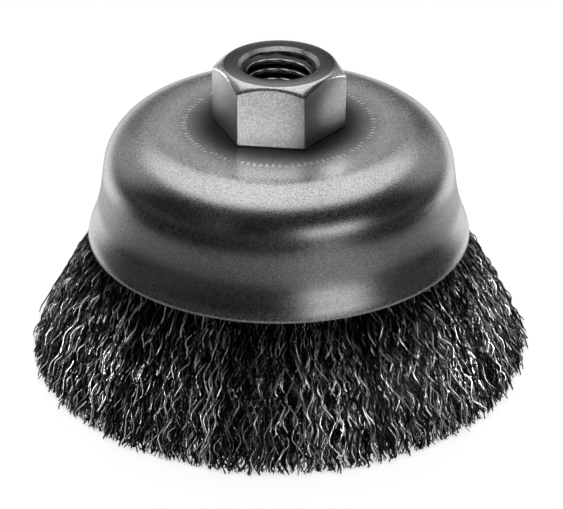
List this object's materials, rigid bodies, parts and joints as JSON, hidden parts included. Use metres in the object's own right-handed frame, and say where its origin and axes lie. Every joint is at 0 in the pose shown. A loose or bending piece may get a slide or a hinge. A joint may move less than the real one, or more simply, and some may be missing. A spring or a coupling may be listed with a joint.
{
  "type": "wire cup brush",
  "caption": "Crimped wire cup brush: hexagon arbor nut riveted through a drawn steel cup that holds a flared ring of crimped steel wire.",
  "frame": {"origin": "on the spindle axis, in the plane of the wire tips", "axes": "+Z along the spindle axis, from the wire tips to the nut; +X through a corner of the hexagon"},
  "size_m": [0.098, 0.098, 0.0598],
  "materials": {
    "nut_steel": "satin turned and milled bar steel, clear plated",
    "cup_steel": "drawn sheet steel, dull plated, fine grain",
    "plate_steel": "pressed sheet steel, dull plated",
    "ring_steel": "drawn steel wire",
    "crimped_wire": "dark tempered carbon steel wire, bright on its bends"
  },
  "bodies": {
    "root": {"arbor_nut": "nut_steel", "cup": "cup_steel", "inner_plate": "plate_steel", "anchor_ring": "ring_steel", "wire_fill": "crimped_wire"}
  },
  "joints": []
}
